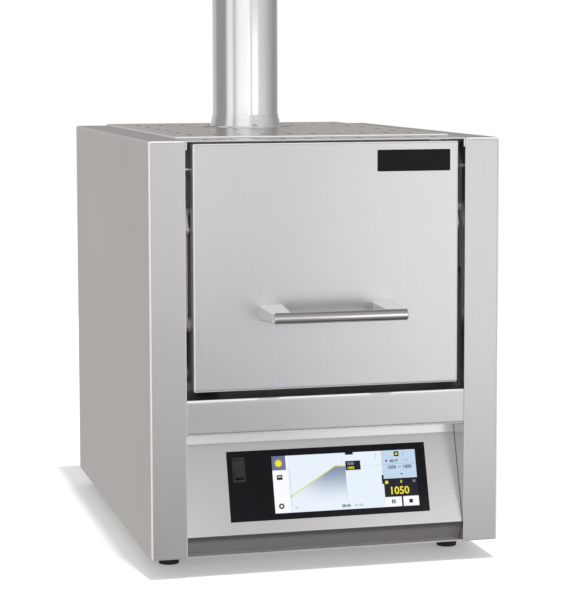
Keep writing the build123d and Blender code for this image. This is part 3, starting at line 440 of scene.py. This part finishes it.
def paint_slot_shade(finish, tone, node):
    """Darkens the walls and the rims of the slots through a sheet: painted shade, a near-black matt tone
    where the holes lie in shade.
    """
    low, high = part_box(node)
    x, y = finish.parts(finish.place)[:2]
    rim = 4 * MM
    inside = (x > low.x + rim) * (x < high.x - rim) * (y > low.y + rim) * (y < high.y - rim)
    wall = abs(finish.facing(2)) < 0.5
    # Painted shade on the slot walls and on the bends round the slots
    overlaid(finish, inside * wall.either(finish.corner * 0.95), tone)


def dull_flanges(finish, tone):
    """Dulls the narrow flanges at a folded sheet's left and right."""
    overlaid(finish, finish.rise(abs(finish.facing(0)), 0.90, 0.98) * 0.75, tone)


def moulded(name, tone, roughness, texture=0.12, shine=0.5):
    """Moulded plastic or rubber with a fine spark texture."""
    finish = Finish(name)
    spark = finish.noise((1700, 1700, 1700), detail=2)
    cloud = finish.noise((30, 30, 30), detail=3)
    finish.set(
        Base_Color=finish.blend(cloud, tinted(tone, 0.8), tinted(tone, 1.35)),
        Roughness=roughness + (cloud - 0.5) * 0.14 + (spark - 0.5) * 0.1,
        Specular_IOR_Level=shine,
    )
    finish.bump(spark, texture, 0.0004)


def fibre_board(name, tone):
    """Pressed fibre board: matt, with short fibres, small pits and a faint stain."""
    finish = Finish(name)
    fibres = finish.noise((260, 900, 500), detail=5, roughness=0.7)
    stain = finish.noise((9, 9, 14), detail=3)
    pits = finish.rise(finish.specks((260, 260, 260)), 0.05, 0.22)
    shade = fibres * 0.5 + stain * 0.5
    finish.set(
        Base_Color=finish.blend(shade, tinted(tone, 0.80), tinted(tone, 1.12)),
        Roughness=0.88 + (fibres - 0.5) * 0.1,
    )
    finish.bump(fibres * 0.6 + pits * 0.4, 0.35, 0.0008)


def fired_ceramic(name, tone):
    """Unglazed ceramic with a sandy surface and rusty bloom from heating."""
    finish = Finish(name)
    sand = finish.noise((700, 700, 700), detail=3, roughness=0.6)
    bloom = finish.rise(finish.noise((14, 14, 14), detail=4), 0.35, 0.75)
    burnt = tuple(part * factor for part, factor in zip(tone, (0.82, 0.66, 0.52)))
    body = finish.blend(sand, tinted(tone, 0.86), tinted(tone, 1.1))
    finish.set(Base_Color=finish.blend(bloom * 0.6, body, burnt), Roughness=0.80 + (sand - 0.5) * 0.15)
    finish.bump(sand, 0.25, 0.0005)


def black_glass(name, tone):
    """Black glass with a barely visible haze."""
    finish = Finish(name)
    haze = finish.noise((60, 60, 60), detail=4)
    finish.set(
        Base_Color=finish.blend(haze, tinted(tone, 0.7), tinted(tone, 1.5)),
        Roughness=0.05 + haze * 0.05,
        IOR=1.25,
    )


# The controller's screen, in millimetres across and up the sloped panel from the screen's middle

SCREEN_SIDE = 80.8
SCREEN_TOP = 30.5


class Slope:
    """The plane of the screen's face, with distances in millimetres across and up it."""

    def __init__(self, node):
        low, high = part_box(node)
        self.middle = (low + high) / 2
        self.lean = math.atan2(high.y - low.y, high.z - low.z)
        self.out = Vector((0, -math.cos(self.lean), math.sin(self.lean)))
        self.up = Vector((0, math.sin(self.lean), math.cos(self.lean)))
        points = [self.out.dot(point.co) for point in frame["nodes"][node].data.vertices]
        self.middle += self.out * (max(points) - self.out.dot(self.middle))

    def point(self, across, up):
        """A place on the face."""
        return self.middle + Vector((across * MM, 0, 0)) + self.up * up * MM

    def signals(self, finish):
        """Distances across and up the face, for a material."""
        x, y, z = finish.parts(finish.place)
        across = (x - self.middle.x) / MM
        up = ((y - self.middle.y) * self.up.y + (z - self.middle.z) * self.up.z) / MM
        return across, up


def patch(finish, across, up, left, right, low, high):
    """A mask that is 1 in a rectangle and 0 outside it."""
    inside_across = finish.hump(across, (left + right) / 2, (right - left) / 2, 0.25)
    inside_up = finish.hump(up, (low + high) / 2, (high - low) / 2, 0.25)
    return inside_across * inside_up


def squared(across, up, x, y):
    """Square of the distance from a point of the screen."""
    return (across - x).maths("POWER", 2.0) + (up - y).maths("POWER", 2.0)


def disc(finish, across, up, x, y, radius):
    """A mask that is 1 in a disc and 0 outside it."""
    return 1 - finish.rise(squared(across, up, x, y).maths("SQRT"), radius, radius + 0.4)


def lit_screen(name, slope, look):
    """The screen: icons, a filled curve, a light block, a dark value field and two buttons."""
    finish = Finish(name)
    across, up = slope.signals(finish)
    pixels = finish.noise((900, 900, 900), detail=1)
    tone = finish.blend(pixels, tinted(look.paper, 0.97), look.paper)

    def block(left, right, low, high):
        return patch(finish, across, up, left, right, low, high)

    def spot(x, y, radius):
        return disc(finish, across, up, x, y, radius)

    side, top = SCREEN_SIDE, SCREEN_TOP

    # Chart: a ramp up to a level stretch, filled under the line
    ramp = (across + 62) * 0.585 - 13.4
    curve = ramp - finish.rise(across, -18.0, -4.0) * (across + 11) * 0.585
    under = finish.rise(curve - up, 0.0, 0.5) * block(-62.0, 0.5, -22.0, 24.0)
    shade = finish.rise(up, -24.0, 18.0) * finish.rise(across, -66.0, -20.0)
    on_line = finish.hump(up - curve, 0.0, 0.35, 0.5) * block(-62.0, 0.5, -24.0, 24.0)
    layers = [
        (block(-side, -64.2, -top, top), look.white),
        (under * shade, look.chart),
        (on_line, look.line),
        (spot(-62.0, -13.4, 1.1), look.line),
        (block(-62.15, -61.85, -24.0, 18.5) * 0.6, look.faint),
        (block(-3.0, -2.7, 16.0, top) * 0.25, look.faint),
        (block(0.2, 0.5, -22.0, 15.5) * 0.4, look.faint),
        (block(17.7, 42.0, 15.0, 15.4) * 0.5, look.line),
        # Icons in the column at the left
        (block(-side, -65.8, 15.4, top), look.icon),
        (1 - finish.rise(squared(across, up, -73.6, 22.7), 5.0, 22.0), look.digits),
        (block(-76.4, -70.4, 5.0, 10.0), look.dark),
        (block(-75.4, -71.4, 7.6, 8.6) * 0.7, look.white),
        (spot(-73.5, -23.3, 2.8), look.dark),
        (spot(-73.5, -23.3, 1.2), look.white),
        # Label of the curve, and the three dots beside it
        (block(1.0, 17.7, 11.4, 21.2), look.dark),
        (block(1.6, 10.2, 28.2, top), look.dark),
        (spot(35.9, 27.3, 0.35), look.faint),
        (spot(35.9, 25.4, 0.35), look.faint),
        (spot(35.9, 23.5, 0.35), look.faint),
        # Light block with its rows
        (block(42.0, side, -0.3, top), look.panel),
        (block(56.8, 62.0, 23.8, 29.0), look.dark),
        (block(58.2, 60.6, 25.4, 27.4), look.digits),
        (block(66.0, 68.4, 25.2, 27.6) * 0.5, look.faint),
        (block(43.0, 80.0, 15.4, 15.7) * 0.6, look.faint),
        (block(46.6, 48.0, 18.2, 20.4), look.dark),
        (block(60.6, 63.6, 11.9, 12.4) * 0.8, look.dark),
        (block(62.6, 64.6, 3.9, 4.9), look.dark),
        # Dark block with the value, and the buttons under it
        (block(42.8, side, -20.0, -0.3).either(block(40.8, 42.8, -5.5, 4.0)), look.dark),
        (block(44.2, 47.4, -5.6, -2.6), look.digits),
        (block(75.6, 78.6, -5.2, -2.8) * 0.5, look.faint),
        (block(43.2, 61.4, -top, -20.6), look.white),
        (block(63.0, side, -top, -20.6), look.white),
        (block(61.4, 63.0, -top, -20.0), look.dark),
        (block(50.2, 51.5, -27.2, -23.2), look.dark),
        (block(52.6, 53.9, -27.2, -23.2), look.dark),
        (block(69.8, 73.6, -27.4, -23.6), look.dark),
    ]
    for mask, second in layers:
        tone = finish.blend(mask, tone, second)
    finish.set(
        Base_Color=(0.01, 0.01, 0.01),
        Roughness=0.10 + pixels * 0.04,
        IOR=1.25,
        Emission_Color=tone,
        Emission_Strength=look.glow,
    )


def glowing(name, tone, glow):
    """Lit shapes on the screen."""
    finish = Finish(name)
    pixels = finish.noise((900, 900, 900), detail=1)
    finish.set(
        Base_Color=(0.01, 0.01, 0.01),
        Roughness=0.14 + pixels * 0.04,
        Emission_Color=finish.blend(pixels, tinted(tone, 0.94), tone),
        Emission_Strength=glow,
    )


# Plain digits of the screen: what, across, up, height of the line, weight

DIGITS = {
    "yellow_digits": [
        ("1050", 47.6, -17.4, 11.4, 0.22),
        ("0", 61.0, -5.6, 4.2, 0.10),
        ("1050", 2.4, 12.4, 4.0, 0.10),
    ],
    "dark_digits": [
        ("00:19", 51.0, 17.5, 4.2, 0.12),
        ("1050", 47.8, 10.4, 5.0, 0.12),
        ("1050", 65.4, 10.4, 5.0, 0.12),
        ("00:43", -7.0, -28.4, 4.4, 0.12),
    ],
    "faint_digits": [
        ("1050", 2.4, 17.0, 4.0, 0.06),
        ("03:00", 64.6, 18.0, 3.6, 0.02),
        ("01:24", 7.4, -28.4, 4.2, 0.05),
        ("00", -59.0, -27.0, 3.4, 0.02),
    ],
}


# Modelling helpers

def unpick():
    """Leaves nothing selected."""
    bpy.ops.object.select_all(action="DESELECT")


def selected(piece):
    """Makes one piece the only one that is selected, and the active one."""
    unpick()
    piece.select_set(True)
    bpy.context.view_layer.objects.active = piece


def pick_points(piece, test):
    """Selects the points of a piece for which the test holds, for edit mode."""
    mesh = piece.data
    for part in (*mesh.edges, *mesh.polygons):
        part.select = False
    for point in mesh.vertices:
        point.select = test(point.co)


def in_edit(piece, mode, *steps):
    """Runs steps in edit mode, with points, edges or faces as what is selected."""
    selected(piece)
    bpy.ops.object.mode_set(mode="EDIT")
    bpy.ops.mesh.select_mode(type=mode)
    for step in steps:
        step()
    bpy.ops.object.mode_set(mode="OBJECT")


def settle(piece, angle=35):
    """Moves a piece's place into its mesh, turns its faces outwards and smooths its curves."""
    selected(piece)
    bpy.ops.object.transform_apply(location=True, rotation=True, scale=True)
    bpy.ops.object.mode_set(mode="EDIT")
    bpy.ops.mesh.select_all(action="SELECT")
    bpy.ops.mesh.remove_doubles(threshold=0.00001)
    bpy.ops.mesh.normals_make_consistent(inside=False)
    bpy.ops.object.mode_set(mode="OBJECT")
    bpy.ops.object.shade_smooth_by_angle(angle=math.radians(angle))
    return piece


def joined(pieces, name):
    """Several pieces made one."""
    unpick()
    for piece in pieces:
        piece.select_set(True)
    bpy.context.view_layer.objects.active = pieces[0]
    if len(pieces) > 1:
        bpy.ops.object.join()
    piece = bpy.context.active_object
    piece.name = name
    return piece


def coat(piece, *materials):
    """Gives a piece its materials and nothing else."""
    piece.data.materials.clear()
    for material in materials:
        piece.data.materials.append(material)


def given(name):
    """A material that an earlier step has made."""
    if name not in bpy.data.materials:
        raise RuntimeError(f"{name} isn't there: make the finishes first")
    return bpy.data.materials[name]


# Which finish each slot takes, and the nodes that have one of their own

SLOT_FINISH = {
    "housing_steel": "housing_across",
    "door_steel": "door_sheet",
    "pipe_steel": "pipe_tube",
    "frame_steel": "inner_sheet",
    "guide_steel": "guide_bar",
    "pin_steel": "bright_pin",
    "handle_steel": "handle_bar",
    "bracket_steel": "handle_bracket",
    "badge": "dark_plate",
    "fascia": "fascia_glass",
    "screen": "lit_screen",
    "black_plastic": "black_plastic",
    "foot_rubber": "foot_rubber",
    "insulation_board": "fibre_board",
    "hot_ceramic": "fired_ceramic",
    "sink_aluminium": "sink_aluminium",
    "terminal_plastic": "terminal_plastic",
}
OWN_FINISH = {
    "left_side_shell": "housing_upright",
    "right_side_shell": "housing_upright",
    "rear_panel": "housing_upright",
    "top_cover": "cover_sheet",
    "front_top_strip": "strip_sheet",
    "bottom_tray": "lightened_tray_sheet",
    "control_panel": "panel_sheet",
    "door_casing": "casing_sheet",
}


class FURNACE_OT_finishes(bpy.types.Operator):
    """Makes the furnace's materials"""

    bl_idname = "furnace.finishes"
    bl_label = "Finishes"

    def execute(self, context):
        look = context.scene.furnace_finishes
        grain = look.grain
        brushed("housing_across", look.housing, "X", 0.30, grain, look.edge)
        brushed("housing_upright", look.housing, "Z", 0.34, grain, look.edge)
        for name, node in (("cover_sheet", "top_cover"), ("strip_sheet", "front_top_strip")):
            sheet = brushed(name, look.housing, "Y", 0.22, grain, look.edge)
            paint_slot_shade(sheet, look.slots, node)
        door = brushed("door_sheet", look.door, "Z", 0.30, grain, look.edge)
        dull_flanges(door, look.guide)
        brushed("panel_sheet", look.housing, "X", 0.24, grain)
        mill("casing_sheet", look.guide, 0.40, contrast=0.12, metallic=0.25)
        # The tray takes the housing steel made 15% lighter, painted light that lifts the base
        brushed("lightened_tray_sheet", tinted(look.housing, 1.15), "X", 0.36, grain)
        drawn_tube("pipe_tube", look.pipe)
        mill("inner_sheet", look.frame, 0.42, metallic=0.2)
        mill("guide_bar", look.guide, 0.36, metallic=0.35)
        mill("bright_pin", look.pin, 0.20, contrast=0.08, metallic=0.85)
        mill("handle_bar", look.bar, 0.13, contrast=0.06)
        bracket = brushed("handle_bracket", look.bracket, "X", 0.40, grain, look.edge)
        overlaid(bracket, 0.5, tinted(look.bracket, 1.03))
        moulded("dark_plate", look.badge, 0.30, texture=0.05, shine=0.15)
        black_glass("fascia_glass", look.fascia)
        moulded("black_plastic", look.plastic, 0.40, shine=0.07)
        moulded("foot_rubber", look.rubber, 0.58, texture=0.2, shine=0.3)
        fibre_board("fibre_board", look.board)
        fired_ceramic("fired_ceramic", look.ceramic)
        brushed("sink_aluminium", look.aluminium, "Y", 0.36, grain)
        moulded("terminal_plastic", look.terminal, 0.5)
        return {"FINISHED"}


class FURNACE_OT_screen(bpy.types.Operator):
    """Makes the lit face of the controller's screen"""

    bl_idname = "furnace.screen"
    bl_label = "Screen"

    def execute(self, context):
        lit_screen("lit_screen", Slope("display_screen"), context.scene.furnace_display)
        return {"FINISHED"}


class FURNACE_OT_digits(bpy.types.Operator):
    """Sets plain digits on the controller's screen"""

    bl_idname = "furnace.digits"
    bl_label = "Digits"

    def execute(self, context):
        look = context.scene.furnace_display
        slope = Slope("display_screen")
        tones = {"yellow_digits": look.digits, "dark_digits": look.dark, "faint_digits": look.faint}
        for name, lines in DIGITS.items():
            glowing(name, tones[name], look.glow)
            piece = joined([self.line(slope, *line) for line in lines], f"screen_{name}")
            coat(piece, given(name))
            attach(piece, "housing")
        return {"FINISHED"}

    def line(self, slope, digits, across, up, height, weight):
        """One row of digits, as thin shapes that lie on the screen."""
        unpick()
        bpy.ops.object.text_add(
            location=slope.point(across, up) + slope.out * DIGIT_LIFT,
            rotation=(math.pi / 2 - slope.lean, 0, 0),
        )
        row = bpy.context.active_object
        row.data.body = digits
        row.data.size = height * MM
        row.data.offset = weight * MM
        row.data.extrude = DIGIT_HALF
        row.data.resolution_u = 3
        bpy.ops.object.convert(target="MESH")
        return settle(bpy.context.active_object)


class FURNACE_OT_coats(bpy.types.Operator):
    """Gives every fixed piece the finish of its slot"""

    bl_idname = "furnace.coats"
    bl_label = "Coats"

    def execute(self, context):
        for part in frame["record"]["subparts"]:
            node = part["node"]
            name = OWN_FINISH.get(node, SLOT_FINISH[part["material_slot"]])
            coat(frame["nodes"][node], given(name))
        return {"FINISHED"}


class FURNACE_OT_springs(bpy.types.Operator):
    """Winds the two balance springs of the door's guide from round wire"""

    bl_idname = "furnace.springs"
    bl_label = "Balance springs"

    def execute(self, context):
        sizes = context.scene.furnace_springs
        for side in ("left", "right"):
            node = f"lift_spring_{side}"
            spring = self.wind(sizes, *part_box(node))
            spring.name = f"round_spring_{side}"
            coat(spring, given("bright_pin"))
            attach(spring, "housing")
            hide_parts(node)
            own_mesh(spring)
        return {"FINISHED"}

    def wind(self, sizes, low, high):
        """One spring: a screwed circle of wire, whose ends are spun into eyes."""
        middle = (low + high) / 2
        reach = sizes.wire + sizes.eye + sizes.eye * sizes.long
        start, end = low.z + reach, high.z - reach
        unpick()
        bpy.ops.mesh.primitive_circle_add(
            vertices=WIRE_SIDES, radius=sizes.wire,
            rotation=(math.pi / 2, 0, 0), location=(sizes.coil, 0, 0),
        )
        spring = bpy.context.active_object
        bpy.ops.object.transform_apply(location=True, rotation=True, scale=True)
        screw = spring.modifiers.new("coils", "SCREW")
        screw.axis = "Z"
        screw.screw_offset = (end - start) / sizes.coils
        screw.iterations = sizes.coils
        screw.steps = COIL_STEPS
        screw.render_steps = COIL_STEPS
        bpy.ops.object.modifier_apply(modifier=screw.name)
        bpy.ops.transform.translate(value=(middle.x, middle.y, start))
        bpy.ops.object.transform_apply(location=True, rotation=True, scale=True)
        for level, way in ((start, 1), (end, -1)):
            self.hook(spring, sizes, middle, level, way)
        return settle(spring, angle=60)

    def hook(self, spring, sizes, middle, level, way):
        """Turns the wire's end inwards to the axis, then round into a long eye."""
        tip = Vector((middle.x + sizes.coil, middle.y, level))
        bend = (middle.x + sizes.coil / 2, middle.y, level)
        eye = (middle.x, middle.y, level - way * sizes.eye)
        pick_points(spring, lambda point: (point - tip).length < 1.2 * sizes.wire)
        in_edit(
            spring, "VERT",
            lambda: bpy.ops.mesh.spin(steps=BEND_STEPS, angle=-way * math.pi, center=bend, axis=(0, 0, 1)),
            lambda: bpy.ops.mesh.spin(steps=EYE_STEPS, angle=EYE_TURN, center=eye, axis=(1, 0, 0)),
            lambda: bpy.ops.mesh.edge_face_add(),
        )
        pick_points(spring, lambda point: (level - point.z) * way > 0.7 * sizes.wire)
        stretch = {"value": (1, 1, sizes.long), "center_override": (middle.x, middle.y, level)}
        in_edit(spring, "VERT", lambda: bpy.ops.transform.resize(**stretch))


class FURNACE_OT_stage(bpy.types.Operator):
    """Sets up the floor, the light and the camera"""

    bl_idname = "furnace.stage"
    bl_label = "Stage"

    def execute(self, context):
        studio = context.scene.furnace_studio
        self.floor(studio)
        self.surroundings(context.scene, studio)
        self.overhead(studio)
        for lamp in LAMPS:
            self.lamp(*lamp)
        self.camera(context.scene, studio)
        context.scene.view_settings.view_transform = "Standard"
        return {"FINISHED"}

    def floor(self, studio):
        """A pale floor that keeps the furnace's shadow, and that metal doesn't reflect."""
        unpick()
        bpy.ops.mesh.primitive_grid_add(x_subdivisions=8, y_subdivisions=8, size=studio.floor_size)
        floor = bpy.context.active_object
        floor.name = "floor"
        finish = Finish("floor")
        seen = finish.node("ShaderNodeLightPath", output=0)
        finish.set(
            Base_Color=finish.blend(seen, (studio.floor_bounce,) * 3, (studio.floor_seen,) * 3),
            Roughness=0.9,
            Emission_Color=finish.blend(seen, (0, 0, 0), (1, 1, 1)),
            Emission_Strength=studio.floor_glow,
        )
        coat(floor, finish.material)
        floor.visible_glossy = False

    def surroundings(self, scene, studio):
        """A soft studio all round: white to the camera, soft boxes and dark gaps to metal."""
        world = bpy.data.worlds.new("studio")
        scene.world = world
        world.use_nodes = True
        tree = Tree(world.node_tree)
        x, y, z = tree.parts(tree.node("ShaderNodeTexCoord", output=0))
        yaw = studio.yaw
        ahead = x * -math.sin(yaw) + y * -math.cos(yaw)
        right = x * math.cos(yaw) + y * -math.sin(yaw)
        angle = right.maths("ARCTAN2", ahead) / math.radians(1)
        level, tone = self.in_metal(tree, angle, z)
        camera, glossy, through = [tree.node("ShaderNodeLightPath", output=place) for place in (0, 3, 6)]
        white = camera.either(through)
        plain = tree.blend(white, (1.0, 0.99, 0.98), (1.0, 1.0, 1.0))
        strength = white + glossy * level + (1 - white.either(glossy)) * studio.fill
        background = world.node_tree.nodes["Background"]
        feed(tree.tree, background.inputs["Color"], tree.blend(glossy, plain, tone))
        feed(tree.tree, background.inputs["Strength"], strength)

    def in_metal(self, tree, angle, z):
        """Level and colour of the studio that metal sees, by degrees to the right and by height."""
        boxes = sum(tree.hump(angle, *box) * level for *box, level in SOFT_BOXES) + BETWEEN_BOXES
        down = z * -1.0
        # All round, the studio darkens overhead and towards its floor
        height = 1 - tree.rise(z, 0.30, 0.62) * 0.50
        depth = 1 - tree.rise(down, 0.28, 0.66) * 0.48 - tree.rise(down, 0.70, 0.90) * 0.34
        # In front it has a light band just under the horizon, and is in shade below that
        below = tree.rise(down, 0.03, 0.24)
        front = tree.hump(angle, 20.0, 50.0, 50.0)
        shade = 0.66 - tree.rise(angle, 22.0, 42.0) * 0.38
        lift = 1 + front * (tree.rise(down, 0.0, 0.04) * 0.27 - tree.rise(down, 0.06, 0.18) * 0.20)
        level = boxes * height * depth * lift * (1 - below * front * shade)
        # Its light is warmer low at the left, and behind
        low_left = below * (1 - tree.rise(angle, 20.0, 44.0) * 0.7)
        warmth = low_left.either(1 - tree.hump(angle, 0.0, 60.0, 50.0))
        return level, tree.blend(warmth, (0.975, 0.972, 1.0), (1.0, 0.965, 0.945))

    def overhead(self, studio):
        """A far lamp above and a little in front, whose shadow stays close to the furnace."""
        unpick()
        bpy.ops.object.light_add(type="SUN", location=(0, 0, 3))
        lamp = bpy.context.active_object
        lamp.name = "overhead"
        lamp.data.energy = studio.sun * math.pi
        lamp.data.angle = studio.sun_width
        lamp.rotation_euler = (studio.sun_tilt, studio.sun_side, 0)
        lamp.visible_glossy = False

    def lamp(self, name, place, size, level, in_metal):
        """A soft box of one even level, which the camera doesn't see."""
        unpick()
        bpy.ops.object.light_add(type="AREA", location=place)
        lamp = bpy.context.active_object
        lamp.name = name
        lamp.rotation_euler = (AIM - Vector(place)).to_track_quat("-Z", "Y").to_euler()
        lamp.data.shape = "RECTANGLE"
        lamp.data.size, lamp.data.size_y = size
        lamp.data.energy = level * math.pi * size[0] * size[1]
        lamp.visible_camera = False
        lamp.visible_glossy = in_metal

    def camera(self, scene, studio):
        """The photograph's camera."""
        unpick()
        bpy.ops.object.camera_add(
            location=studio.place, rotation=(math.pi / 2 - studio.pitch, studio.roll, -studio.yaw)
        )
        camera = bpy.context.active_object
        camera.name = "camera"
        camera.data.sensor_width = 36.0
        camera.data.lens = studio.lens
        camera.data.shift_x = studio.shift_x
        camera.data.shift_y = studio.shift_y
        camera.data.clip_end = 50.0
        scene.camera = camera


class FURNACE_PT_panel(bpy.types.Panel):
    """Sidebar panel with the steps and the values of the furnace"""

    bl_idname = "FURNACE_PT_panel"
    bl_label = "Ashing furnace"
    bl_space_type = "VIEW_3D"
    bl_region_type = "UI"
    bl_category = "Furnace"

    def draw(self, context):
        for operator in OPERATORS:
            self.layout.operator(operator.bl_idname)
        for name in GROUPS:
            group = getattr(context.scene, name)
            box = self.layout.box()
            for key in group.bl_rna.properties.keys():
                if key not in ("rna_type", "name"):
                    box.prop(group, key)


OPERATORS = (
    FURNACE_OT_finishes,
    FURNACE_OT_screen,
    FURNACE_OT_digits,
    FURNACE_OT_coats,
    FURNACE_OT_springs,
    FURNACE_OT_stage,
)
GROUPS = {
    "furnace_finishes": FurnaceFinishes,
    "furnace_display": FurnaceDisplay,
    "furnace_springs": FurnaceSprings,
    "furnace_studio": FurnaceStudio,
}


def register():
    for group in (*GROUPS.values(), *OPERATORS, FURNACE_PT_panel):
        bpy.utils.register_class(group)
    for name, group in GROUPS.items():
        setattr(bpy.types.Scene, name, bpy.props.PointerProperty(type=group))


def unregister():
    for name in GROUPS:
        delattr(bpy.types.Scene, name)
    for group in reversed((*GROUPS.values(), *OPERATORS, FURNACE_PT_panel)):
        bpy.utils.unregister_class(group)


def main():
    """Builds everything."""
    register()
    bpy.ops.furnace.finishes()
    bpy.ops.furnace.screen()
    bpy.ops.furnace.digits()
    bpy.ops.furnace.coats()
    bpy.ops.furnace.springs()
    bpy.ops.furnace.stage()


if __name__ == "__main__":
    main()
